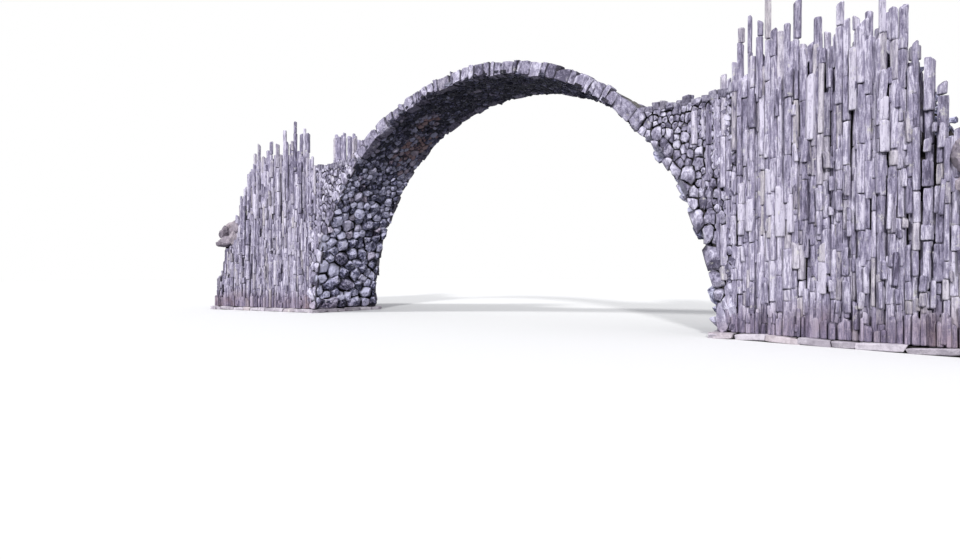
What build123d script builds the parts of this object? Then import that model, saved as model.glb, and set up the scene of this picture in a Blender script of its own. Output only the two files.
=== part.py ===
from build123d import *
from math import asin, cos, degrees, hypot, radians, sin, sqrt
import os

# A tall half-round stone footbridge. X runs along the bridge, Y across it (near face at -Y), Z up.
# The origin is on the waterline, under the middle of the arch. Lengths are in millimetres.

# Arch
arch_radius = 10000.0  # underside of the arch, a true half circle about the origin
barrel_depth = 250.0  # rubble barrel between the two edge rings
paving_depth = 100.0  # thinnest paving over the barrel
edge_depth = 500.0  # radial depth of the edge stones, so they stand proud of the paving
edge_width = 500.0  # width of each edge ring across the bridge
crown_width = 3560.0  # waist of the hourglass plan

# Abutments
wing_clear = 50.0  # from the edge ring's foot to the columned wing
wing_length = 6850.0  # from there to the outer end of the masonry
wing_start_width = 4280.0
wing_end_width = 6800.0
wing_wall = 640.0  # thickness of the wing where it begins, columns included
plinth_height = 200.0
plinth_ledge = 250.0  # how far the plinth stands out all round

# Basalt columns
column_radius = 130.0  # corner circle of a column
column_joint = 20.0  # open joint between neighbours
column_turn = 30.0  # degrees that each column is turned on from the last
spire_shares = (0.9, 0.35, 0.65, 1.0, 0.1, 0.8, 0.0)  # of the spires' height, for each column in turn

# Way up
bank_level = 4200.0
landing_level = 7200.0
landing_before_wing = 1050.0  # the landing ends this far inside the wing's start
flight_steps = 14
arch_steps = 14
crown_paving_half = 2070.0
tread_depth = 150.0
stone_joint = 10.0

# Edge stones along the arch
stone_pitch = 320.0
stone_rise = 70.0  # how much the tallest edge stone stands above the lowest
stone_rises = (0.0, 0.5, 1.0, 0.25, 0.75)  # of that rise, for each edge stone in turn
springer_to = 32.0  # degrees above the springing where the barrel's lowest stretch ends
exposed_from = 46.0  # degrees above the springing where the edge ring leaves the spandrel
crown_from = 65.0  # degrees above the springing where the crown's pieces begin

# Seats between curved faces
fit_gap = 0.3
halfway_up = 22.0  # degrees above the springing, for the middle of the arcs behind the ring

# Lowest column tops of each wing: distance out from the wing's start, and height
near_crest = ((0, 8000), (800, 8400), (3650, 8250), (4350, 7700), (5100, 5500), (5750, 3600), (6850, 1600))
far_crest = ((0, 9450), (1450, 10100), (2450, 10500), (3950, 10650), (4100, 8600), (5750, 5500), (6850, 4700))

# Height of the tallest spires over those tops: distance out from the wing's start, and height
near_spires = ((0, 1300), (950, 1550), (2200, 750), (3700, 850), (4300, 100), (6850, 0))
far_spires = ((0, 150), (6850, 150))

# Rubble behind the columns: distance out from the wing's start, and height
near_rubble = ((0, 7600), (800, 7900), (3650, 7800), (4350, 6700), (5100, 4300))
far_rubble = ((0, 7700), (3900, 8200), (4500, 7400), (5650, 5300), (6850, 4500))

# Top of the rubble beside the arch: distance in from the wing's start, and height
spandrel_foot = 7430.0  # where it meets the edge ring
spandrel_crest = ((1150, 7400), (500, 7420), (0, 7600))

# Boulders, in two rows between the path and the face: distance in from the outer end, row, seat,
# length, height and turn of each
boulder_seat = 3650.0  # top of the short wall and columns under the boulders
boulder_run = 1750.0  # length of that short wall
corner_fall = 1900.0  # the end columns drop this much from the path to the near corner
lower_boulder = 760.0
upper_seat = boulder_seat + lower_boulder
boulder_heap = (
    (400, 0, boulder_seat, 720.0, lower_boulder, 3.0),
    (430, 1, boulder_seat, 800.0, lower_boulder, -2.0),
    (1290, 0, boulder_seat, 800.0, lower_boulder, -3.0),
    (1310, 1, boulder_seat, 780.0, lower_boulder, 2.0),
    (380, 1, upper_seat, 560.0, 460.0, 7.0),
    (1150, 0, upper_seat, 900.0, 640.0, 5.0),
    (1230, 1, upper_seat, 760.0, 780.0, -5.0),
)
boulder_chamfer = 150.0
boulder_gap = 70.0  # between the two rows
boulder_ledge = 120.0  # clear of the path by this much

extrados = arch_radius + barrel_depth
deck_radius = extrados + paving_depth
edge_radius = arch_radius + edge_depth
column_pitch = 2 * column_radius + column_joint
row_depth = column_pitch + column_joint
wing_start = edge_radius + wing_clear
wing_end = wing_start + wing_length
path_width = wing_start_width - 2 * wing_wall
landing_outer = wing_start - landing_before_wing
boulder_from = wing_end - boulder_run
flare = (wing_end_width - wing_start_width) / 2 / (wing_end - wing_start)
end_row = wing_end - row_depth
spire_top = max(height for line in (near_crest, far_crest) for distance, height in line)
spire_top += max(height for line in (near_spires, far_spires) for distance, height in line)
full_height = max(spire_top, edge_radius + stone_rise)

ends = (("left", -1), ("right", 1))
faces = (("near", -1), ("far", 1))
wing_lines = {
    "near": (near_crest, near_spires, near_rubble),
    "far": (far_crest, far_spires, far_rubble),
}

os.makedirs("parts", exist_ok=True)


def save(piece, name):
    piece.part.label = name
    export_step(piece.part, f"parts/{name}.step")


# Height of the deck circle, or another circle about the origin, at a distance from the middle
def rise(radius, distance):
    return sqrt(radius**2 - distance**2)


def polar(radius, angle):
    return (radius * cos(radians(angle)), radius * sin(radians(angle)))


# Height of a wing's line at a distance from the middle, in straight runs between its points
def line_at(line, distance):
    out = distance - wing_start
    for (d0, h0), (d1, h1) in zip(line, line[1:]):
        if out <= d1:
            return h0 + (h1 - h0) * (out - d0) / (d1 - d0)
    return line[-1][1]


# Half the wing's width at a distance from the middle
def wing_half(distance):
    return wing_start_width / 2 + (distance - wing_start) * flare


# Hourglass plan of the arch, between two lines set in from its faces
def trim_to_waist(low_inset, high_inset, low_side=-1, high_side=1):
    with BuildSketch(Plane.XY) as plan:
        with BuildLine():
            for side, inset in ((low_side, low_inset), (high_side, high_inset)):
                outer = side * (wing_start_width / 2 - inset)
                middle = side * (crown_width / 2 - inset)
                ThreePointArc((-wing_start, outer), (0, middle), (wing_start, outer))
            for end in (-1, 1):
                Line(
                    (end * wing_start, low_side * (wing_start_width / 2 - low_inset)),
                    (end * wing_start, high_side * (wing_start_width / 2 - high_inset)),
                )
        make_face()
    extrude(plan.sketch, amount=full_height, mode=Mode.INTERSECT)


# One radial stone or stretch of ring, as a sector drawn on the XZ plane, level where it stands
# on the plinth
def ring_sector(inner, outer, start, stop):
    inner_foot, outer_foot = [degrees(asin(plinth_height / radius)) for radius in (inner, outer)]
    inner_start, outer_start = max(start, inner_foot), max(start, outer_foot)
    inner_stop, outer_stop = min(stop, 180 - inner_foot), min(stop, 180 - outer_foot)
    with BuildLine() as outline:
        CenterArc((0, 0), inner, inner_start, inner_stop - inner_start)
        CenterArc((0, 0), outer, outer_start, outer_stop - outer_start)
        Line(polar(inner, inner_start), polar(outer, outer_start))
        Line(polar(inner, inner_stop), polar(outer, outer_stop))
    make_face(outline.edges())


# One rounded field boulder
def boulder(length, depth, height):
    with BuildPart() as stone:
        Box(length, depth, height)
        chamfer(stone.edges(), length=boulder_chamfer)
    return stone.part


# Rubble barrel, in five stretches that meet face to face
barrel_cuts = (0, springer_to, crown_from, 180 - crown_from, 180 - springer_to, 180)
barrel_names = ("right_springer", "right_haunch", "crown_barrel", "left_haunch", "left_springer")
for name, start, stop in zip(barrel_names, barrel_cuts, barrel_cuts[1:]):
    with BuildPart() as barrel:
        with BuildSketch(Plane.XZ):
            ring_sector(arch_radius, extrados, start, stop)
        extrude(amount=wing_start_width, both=True)
        trim_to_waist(edge_width + fit_gap, edge_width + fit_gap)
    save(barrel, name)

# Edge stones: upright slabs set on the arch like the stones of a ring, with an uneven top
# Each stretch has its free stones between two angles, and beside the spandrel a level run
edge_spans = (
    ("right", exposed_from, crown_from, (0, exposed_from)),
    ("crown", crown_from, 180 - crown_from, None),
    ("left", 180 - crown_from, 180 - exposed_from, (180 - exposed_from, 180)),
)
for end, first, last, level_run in edge_spans:
    count = round(radians(last - first) * edge_radius / stone_pitch)
    each = (last - first) / count
    for face, side in faces:
        with BuildPart() as ring:
            with BuildSketch(Plane.XZ):
                if level_run:
                    ring_sector(arch_radius, edge_radius, *level_run)
                for i in range(count):
                    top = edge_radius + stone_rise * (stone_rises[(i + side) % len(stone_rises)] - 0.5)
                    ring_sector(arch_radius, top, first + i * each, first + (i + 1) * each)
            extrude(amount=wing_start_width, both=True)
            trim_to_waist(edge_width, 0, side, side)
        save(ring, f"{end}_{face}_edge")

# Crown paving, curved with the arch
with BuildPart() as crown_paving:
    half_angle = degrees(asin(crown_paving_half / deck_radius))
    with BuildSketch(Plane.XZ):
        ring_sector(extrados + fit_gap, deck_radius, 90 - half_angle, 90 + half_angle)
    extrude(amount=wing_start_width, both=True)
    trim_to_waist(edge_width + fit_gap, edge_width + fit_gap)
save(crown_paving, "crown_paving")

# Levels where the arch's treads meet the deck circle, from the landing to the crown paving
arch_riser = (rise(deck_radius, crown_paving_half) - landing_level) / arch_steps
arch_levels = [landing_level + arch_riser * i for i in range(arch_steps + 1)]
arch_noses = [rise(deck_radius, level) for level in arch_levels]
landing_inner = arch_noses[0] + stone_joint
flight_run = (wing_end - landing_outer) / flight_steps
flight_riser = (landing_level - bank_level) / (flight_steps + 1)

for end, s in ends:
    # Steps up the arch: level on top, round underneath where they sit on the barrel
    with BuildPart() as arch_flight:
        for level, outer, inner in zip(arch_levels[1:], arch_noses, arch_noses[1:]):
            inner = inner + stone_joint
            seat = extrados + fit_gap
            with BuildSketch(Plane.XZ):
                with BuildLine():
                    bed_ends = ((s * outer, rise(seat, outer)), (s * inner, rise(seat, inner)))
                    middle = (outer + inner) / 2
                    ThreePointArc(bed_ends[0], (s * middle, rise(seat, middle)), bed_ends[1])
                    Polyline(bed_ends[0], (s * outer, level), (s * inner, level), bed_ends[1])
                make_face()
            extrude(amount=wing_start_width, both=True)
        trim_to_waist(edge_width + fit_gap, edge_width + fit_gap)
    save(arch_flight, f"{end}_arch_steps")

    # Landing slab
    with BuildPart() as landing:
        with BuildSketch(Plane.XZ):
            with Locations((s * (landing_inner + landing_outer) / 2, landing_level - tread_depth / 2)):
                Rectangle(landing_outer - landing_inner, tread_depth)
        extrude(amount=wing_start_width, both=True)
        trim_to_waist(edge_width + fit_gap, edge_width + fit_gap)
    save(landing, f"{end}_landing")

    # Flight from the bank to the landing, one slab to a step
    with BuildPart() as flight:
        for i in range(flight_steps):
            centre = wing_end - (i + 0.5) * flight_run
            top = bank_level + (i + 1) * flight_riser
            with Locations((s * centre, 0, top - tread_depth / 2)):
                Box(flight_run - stone_joint, path_width - 2 * stone_joint, tread_depth)
    save(flight, f"{end}_flight")

    # Masonry under the way, stepped to carry the slabs
    bed_drop = landing_level - tread_depth
    foot = rise(extrados + fit_gap, plinth_height)
    shoulder = rise(extrados + fit_gap, bed_drop)
    stairs = [(landing_outer, bed_drop)]
    for i in reversed(range(flight_steps)):
        bed = bank_level + (i + 1) * flight_riser - tread_depth
        inner = wing_end - (i + 1) * flight_run
        outer = min(wing_end - i * flight_run, end_row)
        stairs += [(inner, bed), (outer, bed)]
    back_of_arch = polar(extrados + fit_gap, halfway_up)
    with BuildPart() as core:
        with BuildSketch(Plane.XZ):
            with BuildLine():
                ThreePointArc(
                    (s * foot, plinth_height),
                    (s * back_of_arch[0], back_of_arch[1]),
                    (s * shoulder, bed_drop),
                )
                outline = [(shoulder, bed_drop), *stairs, (end_row, plinth_height), (foot, plinth_height)]
                Polyline(*[(s * d, z) for d, z in outline])
            make_face()
        extrude(amount=wing_start_width, both=True)
        with BuildSketch(Plane.XY.offset(plinth_height)):
            with BuildLine():
                for side in (-1, 1):
                    inset = edge_width + fit_gap
                    waist = side * (wing_start_width / 2 - inset)
                    ThreePointArc(
                        (-wing_start, waist), (0, side * (crown_width / 2 - inset)), (wing_start, waist)
                    )
                Line((-wing_start, -abs(waist)), (-wing_start, abs(waist)))
                Line((wing_start, -abs(waist)), (wing_start, abs(waist)))
            make_face()
            with Locations((s * (wing_start + wing_end) / 2, 0)):
                Rectangle(wing_end - wing_start, path_width)
        extrude(amount=full_height, mode=Mode.INTERSECT)
    save(core, f"{end}_core")

    # Plinth under the abutment, at the waterline
    inner_edge = arch_radius - plinth_ledge
    with BuildPart() as plinth:
        with BuildSketch():
            inner_half = wing_start_width / 2 + plinth_ledge
            outer_half = wing_end_width / 2 + plinth_ledge
            outer_edge = wing_end + plinth_ledge
            corners = ((inner_edge, inner_half), (wing_start, inner_half), (outer_edge, outer_half))
            with BuildLine():
                Polyline(
                    *[(s * d, h) for d, h in corners],
                    *[(s * d, -h) for d, h in reversed(corners)],
                    close=True,
                )
            make_face()
        extrude(amount=plinth_height)
    save(plinth, f"{end}_plinth")

    for face, side in faces:
        crest, spires, rubble = wing_lines[face]

        # Rubble spandrel between the edge ring and the wing
        top_line = [(rise(edge_radius + fit_gap, spandrel_foot), spandrel_foot)]
        top_line += [(wing_start - inward, height) for inward, height in spandrel_crest]
        ring_foot = rise(edge_radius + fit_gap, plinth_height)
        with BuildPart() as spandrel:
            with BuildSketch(Plane.XZ):
                with BuildLine():
                    mid = polar(edge_radius + fit_gap, halfway_up)
                    ThreePointArc(
                        (s * ring_foot, plinth_height),
                        (s * mid[0], mid[1]),
                        (s * top_line[0][0], spandrel_foot),
                    )
                    outline = [*top_line, (wing_start, plinth_height), (ring_foot, plinth_height)]
                    Polyline(*[(s * d, z) for d, z in outline])
                make_face()
            extrude(amount=wing_start_width, both=True)
            trim_to_waist(edge_width, 0, side, side)
        save(spandrel, f"{end}_{face}_spandrel")

        # Rubble wall of the wing, behind its columns
        wall_stop = boulder_from if face == "near" else end_row
        wall_top = [(wing_start + out, height) for out, height in rubble if wing_start + out < wall_stop]
        wall_top += [(wall_stop, max(line_at(rubble, wall_stop), boulder_seat))]
        if face == "near":
            wall_top += [(boulder_from, boulder_seat), (end_row, boulder_seat)]
        with BuildPart() as wing:
            with BuildSketch(Plane.XZ):
                with BuildLine():
                    outline = [(wing_start, plinth_height), *wall_top, (end_row, plinth_height)]
                    Polyline(*[(s * d, z) for d, z in outline], close=True)
                make_face()
            extrude(amount=wing_end_width, both=True)
            with BuildSketch():
                with BuildLine():
                    back = path_width / 2
                    Polyline(
                        (s * wing_start, side * back),
                        (s * wing_start, side * (wing_half(wing_start) - row_depth)),
                        (s * end_row, side * (wing_half(end_row) - row_depth)),
                        (s * end_row, side * back),
                        close=True,
                    )
                make_face()
            extrude(amount=full_height, mode=Mode.INTERSECT)
        save(wing, f"{end}_{face}_wing")

        # Columns along the face of the wing, standing side by side on the plinth
        row_length = hypot(end_row - wing_start, wing_half(end_row) - wing_half(wing_start))
        count = int(row_length / column_pitch)
        with BuildPart() as columns:
            for i in range(count):
                distance = wing_start + (i + 0.5) * (end_row - wing_start) / count
                share = spire_shares[i % len(spire_shares)]
                top = line_at(crest, distance) + line_at(spires, distance) * share
                if face == "near" and distance + column_radius > boulder_from:
                    top = min(top, boulder_seat)
                y = side * (wing_half(distance) - column_radius - column_joint / 2)
                with BuildSketch(Plane.XY.offset(plinth_height)):
                    with Locations((s * distance, y)):
                        RegularPolygon(column_radius, 5 + i % 2, rotation=column_turn * i)
                extrude(amount=top - plinth_height)
        save(columns, f"{end}_{face}_columns")

    # Columns across the outer end, low under the first step
    with BuildPart() as end_columns:
        count = int(wing_end_width / column_pitch)
        for i in range(count):
            y = (i + 0.5 - count / 2) * wing_end_width / count
            top = bank_level + flight_riser - tread_depth
            if y > path_width / 2 + column_radius:
                top = line_at(far_crest, wing_end) - line_at(far_spires, wing_end) * (i % 2)
            elif -y > path_width / 2 + boulder_ledge - column_radius:
                out = (-y - path_width / 2) / (wing_end_width / 2 - path_width / 2)
                top = boulder_seat - corner_fall * out**2
            with BuildSketch(Plane.XY.offset(plinth_height)):
                with Locations((s * (wing_end - column_pitch / 2), y)):
                    RegularPolygon(column_radius, 5 + i % 2, rotation=column_turn * i)
            extrude(amount=top - plinth_height)
    save(end_columns, f"{end}_end_columns")

    # Boulders heaped on the short wall and columns at the near outer corner
    with BuildPart() as boulders:
        for inward, row, seat, length, height, turn in boulder_heap:
            distance = wing_end - inward
            depth = (wing_half(distance) - path_width / 2 - boulder_ledge - boulder_gap) / 2
            y = -(path_width / 2 + boulder_ledge + (row + 0.5) * depth + row * boulder_gap)
            with Locations(Location((s * distance, y, seat + height / 2), (0, 0, s * turn))):
                add(boulder(length, depth, height))
    save(boulders, f"{end}_boulders")
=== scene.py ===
import math
import random

import bmesh
import bpy
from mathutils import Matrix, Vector, noise


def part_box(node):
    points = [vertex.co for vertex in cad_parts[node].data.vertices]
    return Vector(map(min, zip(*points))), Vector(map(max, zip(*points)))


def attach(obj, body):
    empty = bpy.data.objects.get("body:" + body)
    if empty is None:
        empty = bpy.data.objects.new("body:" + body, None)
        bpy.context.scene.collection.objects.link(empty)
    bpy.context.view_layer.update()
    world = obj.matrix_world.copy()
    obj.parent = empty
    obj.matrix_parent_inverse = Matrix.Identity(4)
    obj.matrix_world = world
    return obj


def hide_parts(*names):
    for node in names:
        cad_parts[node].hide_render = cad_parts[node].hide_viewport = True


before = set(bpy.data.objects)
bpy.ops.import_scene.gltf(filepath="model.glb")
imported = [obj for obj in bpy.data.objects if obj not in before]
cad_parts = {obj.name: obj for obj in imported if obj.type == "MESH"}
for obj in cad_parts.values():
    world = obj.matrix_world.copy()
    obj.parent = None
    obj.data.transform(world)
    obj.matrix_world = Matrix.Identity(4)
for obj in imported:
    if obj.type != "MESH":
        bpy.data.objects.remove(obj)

noise.seed_set(8)        # without it noise_vector starts from the clock
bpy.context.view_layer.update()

# Sizes of the masonry, in metres, read from the frame
edgeWidth = 0.5          # across the bridge, each ring of edge stones
barrelDepth = 0.25
plinthLedge = 0.25
columnRow = 0.37         # depth that the columns take of a wing's thickness
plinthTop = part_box("left_plinth")[1].z
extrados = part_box("crown_barrel")[1].z
archRadius = extrados - barrelDepth
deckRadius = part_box("crown_paving")[1].z
edgeRadius = archRadius + 0.5
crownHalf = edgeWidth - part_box("crown_near_edge")[1].y
wingStart = -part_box("left_near_spandrel")[0].x
wingStartHalf = -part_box("left_near_spandrel")[0].y
wingEnd = -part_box("left_plinth")[0].x - plinthLedge
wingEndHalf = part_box("left_plinth")[1].y - plinthLedge
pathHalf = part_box("left_far_wing")[0].y
ends = (("left", -1), ("right", 1))
faces = (("near", -1), ("far", 1))
walls = [(end, e, face, side) for end, e in ends for face, side in faces]
crownFrom = 65.0         # degrees up the arch where its crown pieces start


def halfWidthAt(x):      # waisted over the arch, flaring straight along the wings
    d = abs(x)
    if d <= wingStart:
        return crownHalf + (wingStartHalf - crownHalf) * (d / wingStart) ** 2
    return wingStartHalf + (wingEndHalf - wingStartHalf) * (d - wingStart) / (wingEnd - wingStart)


def faceY(x, side, depth):      # y at a depth in from the face on one side
    return side * (halfWidthAt(x) - depth)


def between(points, d):  # height of a line of (distance, height) points at a distance
    for (d0, h0), (d1, h1) in zip(points, points[1:]):
        if d <= d1:
            return h0 + (h1 - h0) * max(d - d0, 0) / (d1 - d0)
    return points[-1][1]


def archPartAt(degrees):
    return "right" if degrees < crownFrom else "left" if degrees > 180 - crownFrom else "crown"


def archSpans(foot):     # degrees of the arch that each part takes
    return {"right": (foot, crownFrom), "crown": (crownFrom, 180 - crownFrom),
            "left": (180 - crownFrom, 180 - foot)}


# A heap gathers solids until they become one piece. Each stone has a tone, or one for each point, and a
# hue, and each point how far it is out of shade: 0 deep in a joint, darkened there as painted shade, 1 on the
# open front
def newHeap():
    return {"points": [], "faces": [], "tone": [], "hue": [], "wear": [], "finish": []}


def archHeaps():
    return {"left": newHeap(), "crown": newHeap(), "right": newHeap()}


def addSolid(heap, points, polygons, tone=0.0, hue=0.5, finish=0, wear=None):
    first = len(heap["points"])
    heap["points"] += points
    heap["faces"] += [tuple(first + i for i in polygon) for polygon in polygons]
    heap["tone"] += tone if isinstance(tone, list) else [tone] * len(points)
    heap["hue"] += [hue] * len(points)
    heap["wear"] += wear or [1.0] * len(points)
    heap["finish"] += [finish] * len(polygons)


def newObject(name, data):
    made = bpy.data.objects.new(name, data)
    bpy.context.scene.collection.objects.link(made)
    return made


def makePiece(name, heap, finishes, slot, *nodes):
    mesh = bpy.data.meshes.new(name)
    mesh.from_pydata(heap["points"], [], heap["faces"])
    for label in ("tone", "hue", "wear"):
        mesh.attributes.new(label, "FLOAT", "POINT").data.foreach_set("value", heap[label])
    for finish in finishes:
        mesh.materials.append(finish)
    mesh.polygons.foreach_set("material_index", heap["finish"])
    shaped = bmesh.new()
    shaped.from_mesh(mesh)
    bmesh.ops.recalc_face_normals(shaped, faces=shaped.faces)
    shaped.to_mesh(mesh)
    shaped.free()
    piece = newObject(name, mesh)
    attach(piece, "root")
    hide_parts(*nodes)
    print("made", name, len(mesh.polygons), "faces")


# Uneven lengths that fill a stretch, each as (start, length). The last takes up what would be too short
def unevenLengths(start, stop, span, shortest, rng):
    while start < stop - 0.05:
        length = rng.uniform(*span)
        if stop - start - length < shortest:
            length = stop - start
        yield start, length
        start += length


# Faces between rings of n points, one ring after the other
def ringSides(n, rings):
    return [(a + i, a + (i + 1) % n, a + n + (i + 1) % n, a + n + i)
            for a in range(0, (rings - 1) * n, n) for i in range(n)]


# Solid made of such rings, with a flat face at both ends
def addRings(heap, n, points, tone=0.0, hue=0.5, finish=1, wear=None):
    polygons = [tuple(range(n)), tuple(range(len(points) - n, len(points)))]
    addSolid(heap, points, polygons + ringSides(n, len(points) // n), tone, hue, finish, wear)


# Ring of the arch between two radii and two angles. Its sides are (face, how far in from that face)
def addArchBand(heap, inner, outer, start, stop, lowSide, highSide):
    count = max(2, int((stop - start) / 2))
    points = []
    for i in range(count + 1):
        angle = math.radians(start + (stop - start) * i / count)
        for radius, side in ((inner, lowSide), (outer, lowSide), (outer, highSide), (inner, highSide)):
            x = radius * math.cos(angle)
            points.append((x, faceY(x, *side), radius * math.sin(angle)))
    addRings(heap, 4, points)


# Backing behind the stones of a wall: an outline of (x, z) points, from one depth in from a face to another
def addBacking(heap, outline, side, front, back):
    addRings(heap, len(outline), [(x, faceY(x, side, depth), z) for depth in (front, back)
                                  for x, z in outline])


# Sites for stones, scattered no closer than their size lets them
def scatterSites(low, high, spacingAt, inside, rng, tries):
    sites, grid = [], {}
    step = max(spacingAt(low[0] + (high[0] - low[0]) * i / 8, low[1] + (high[1] - low[1]) * j / 8)
               for i in range(9) for j in range(9)) * 1.3
    for _ in range(tries):
        s, t = rng.uniform(low[0], high[0]), rng.uniform(low[1], high[1])
        if not inside(s, t):
            continue
        reach = spacingAt(s, t) * rng.uniform(0.6, 1.4)
        column, row = int(s // step), int(t // step)
        near = [q for i in (-1, 0, 1) for j in (-1, 0, 1) for q in grid.get((column + i, row + j), ())]
        if all(math.hypot(q[0] - s, q[1] - t) > (q[2] + reach) / 2 for q in near):
            sites.append((s, t, reach))
            grid.setdefault((column, row), []).append((s, t, reach))
    return sites


def clipCell(cell, nx, ny, limit):   # keeps the side where nx * s + ny * t <= limit
    kept = []
    for (s0, t0), (s1, t1) in zip(cell, cell[1:] + cell[:1]):
        d0, d1 = nx * s0 + ny * t0 - limit, nx * s1 + ny * t1 - limit
        if d0 <= 0:
            kept.append((s0, t0))
        if d0 * d1 < 0:
            f = d0 / (d0 - d1)
            kept.append((s0 + (s1 - s0) * f, t0 + (t1 - t0) * f))
    return kept


# Each site's cell: nearer to it than to its neighbours, with big stones taking more room
def stoneCells(sites, limitsAt):
    step = 1.7 * max(reach for s, t, reach in sites)
    grid = {}
    for site in sites:
        grid.setdefault((int(site[0] // step), int(site[1] // step)), []).append(site)
    cells = []
    for s, t, reach in sites:
        r = 1.15 * reach
        cell = [(s - r, t - r), (s + r, t - r), (s + r, t + r), (s - r, t + r)]
        column, row = int(s // step), int(t // step)
        near = [q for i in (-1, 0, 1) for j in (-1, 0, 1) for q in grid.get((column + i, row + j), ())]
        near = sorted((math.hypot(q[0] - s, q[1] - t), q) for q in near)
        for distance, q in near[1:24]:
            nx, ny = (q[0] - s) / distance, (q[1] - t) / distance
            cell = clipCell(cell, nx, ny, nx * s + ny * t + distance * reach / (reach + q[2]))
        for nx, ny, limit in limitsAt(s, t):
            cell = clipCell(cell, nx, ny, limit)
        if len(cell) > 2:
            cells.append(((s, t, reach), cell))
    return cells


# Rings of a stone from its back to its tip: width, height and how far out of shade, the lowest rings darkened
# as painted shade in the joint
stoneRings = ((0.95, -1, 0.0), (1.0, 0.0, 0.12), (0.99, 0.34, 0.8), (0.9, 0.72, 1.0), (0.7, 0.96, 1.0),
              (0.45, 1.06, 1.0), (0.2, 1.12, 1.0), (0, 1.15, 1.0))


# One field stone on a cell. place(s, t, w) puts a point that stands out of the wall by w. The dome over
# the cell is split by one broad leaning plane and a few steep ones, each with its own painted shade: a
# random tone on its facet that stands in for light falling differently on each facet
def addStone(heap, cell, place, rng, joint, height, depth, tone, hue, lean=0.45):
    n = len(cell)
    cs, ct = sum(p[0] for p in cell) / n, sum(p[1] for p in cell) / n
    size = sum(math.hypot(p[0] - cs, p[1] - ct) for p in cell) / n
    if size < 1.5 * joint:
        return
    outline = []
    for (s0, t0), (s1, t1) in zip(cell, cell[1:] + cell[:1]):
        for s, t in ((s0 * 0.94 + cs * 0.06, t0 * 0.94 + ct * 0.06), ((s0 + s1) / 2, (t0 + t1) / 2)):
            bend = noise.noise_vector(Vector((s, t, cs)) * (1.6 / size)) * (0.32 * size)
            outline.append((s + bend.x, t + bend.y))
    spread = 1 - min(0.3, joint * rng.uniform(0.6, 1.7) / size)
    splits = []
    for i in range(8):
        tilt = rng.uniform(0, lean) if i == 0 else rng.uniform(0.5, 1.35)
        turn, across = rng.uniform(0, math.tau), math.sin(tilt)
        splits.append((Vector((across * math.cos(turn), across * math.sin(turn), math.cos(tilt))),
                       rng.uniform(0.5, 0.75) if i == 0 else rng.uniform(0.56, 0.88),
                       rng.uniform(-0.6, 0.6)))
    seed = Vector((rng.uniform(0, 99), rng.uniform(0, 99), 0))
    points, wear, shade = [], [], []
    for scale, level, unshaded in stoneRings:
        ring = outline if scale else [(cs, ct)]
        for s, t in ring:
            p = Vector(((s - cs) / size * scale, (t - ct) / size * scale, level))
            # the tone of each facet is shifted by its plane's painted shade
            facetShade = 0
            if level > 0:
                for split, reach, change in splits:
                    over = p.dot(split) - reach
                    if over > 0:
                        p -= split * over
                        facetShade = change
                p += noise.noise_vector(p * 2.2 + seed) * 0.08 + noise.noise_vector(p * 5.5 + seed) * 0.04
            w = -depth if level < 0 else p.z * height
            points.append(place(cs + p.x * size * spread, ct + p.y * size * spread, w))
            # lower rings are darkened as painted shade in the joint
            wear.append(unshaded)
            shade.append(tone + facetShade)
    m = len(outline)
    last = (len(stoneRings) - 2) * m
    polygons = [tuple(range(m))] + ringSides(m, len(stoneRings) - 1)
    polygons += [(last + i, last + (i + 1) % m, len(points) - 1) for i in range(m)]
    addSolid(heap, points, polygons, shade, hue, wear=wear)


# Grid over a cube's surface, closer near its edges, to shape into blocks
def blockTemplate(marks):
    last, index, points, polygons = len(marks) - 1, {}, [], []

    def corner(i, j, k):
        if (i, j, k) not in index:
            index[i, j, k] = len(points)
            points.append((marks[i], marks[j], marks[k]))
        return index[i, j, k]

    for i in range(last):
        for j in range(last):
            for end in (0, last):
                square = ((i, j), (i + 1, j), (i + 1, j + 1), (i, j + 1))
                polygons.append(tuple(corner(end, a, b) for a, b in square))
                polygons.append(tuple(corner(a, end, b) for a, b in square))
                polygons.append(tuple(corner(a, b, end) for a, b in square))
    return points, polygons


fineBlock = blockTemplate((-1, -0.72, -0.2, 0.3, 0.76, 1))
plainBlock = blockTemplate((-1, -0.7, 0.7, 1))


# One roughly squared stone. axes are its three directions and half its half sizes along them. Its ends
# along the first hidden axes are darkened to sides as painted shade, as they face other stones
def addBlock(heap, centre, axes, half, rng, tone, hue, rounding=0.3, rough=0.02, template=plainBlock,
             sides=0.55, hidden=2, splits=0):
    radius = rounding * min(half)
    taper = [rng.uniform(-0.1, 0.1) for _ in range(4)]
    skew = [rng.uniform(-0.08, 0.08) for _ in range(2)]
    seed = Vector([rng.uniform(0, 99) for _ in range(3)])
    cuts = [(Vector((rng.uniform(-1, 1), rng.uniform(-1, 1), rng.uniform(-1, 1))).normalized(),
             rng.uniform(0.95, 1.25)) for _ in range(splits)]
    centre, points, wear = Vector(centre), [], []
    for corner in template[0]:
        p = Vector(corner)
        for cut, reach in cuts:
            p -= cut * max(0, p.dot(cut) - reach)
        q = [c * h for c, h in zip(p, half)]
        inner = [max(-(h - radius), min(h - radius, c)) for c, h in zip(q, half)]
        out = Vector(c - i for c, i in zip(q, inner))
        if out.length > 1e-6:
            out = out.normalized() * radius
            q = [i + o for i, o in zip(inner, out)]
        q[0] *= 1 + taper[0] * p[2] + taper[1] * p[1]
        q[1] *= 1 + taper[2] * p[2] + taper[3] * p[0]
        q[0] += skew[0] * q[2]
        q[2] += skew[1] * q[0]
        spot = Vector(q)
        spot += noise.noise_vector(spot * (0.8 / max(min(half), 0.05)) + seed) * rough
        points.append(tuple(centre + axes[0] * spot.x + axes[1] * spot.y + axes[2] * spot.z))
        # ends that face other stones are darkened to sides: painted shade
        wear.append(1.0 if max(abs(c) for c in corner[:hidden]) < 1 else sides)
    addSolid(heap, points, template[1], tone, hue, wear=wear)


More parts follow.
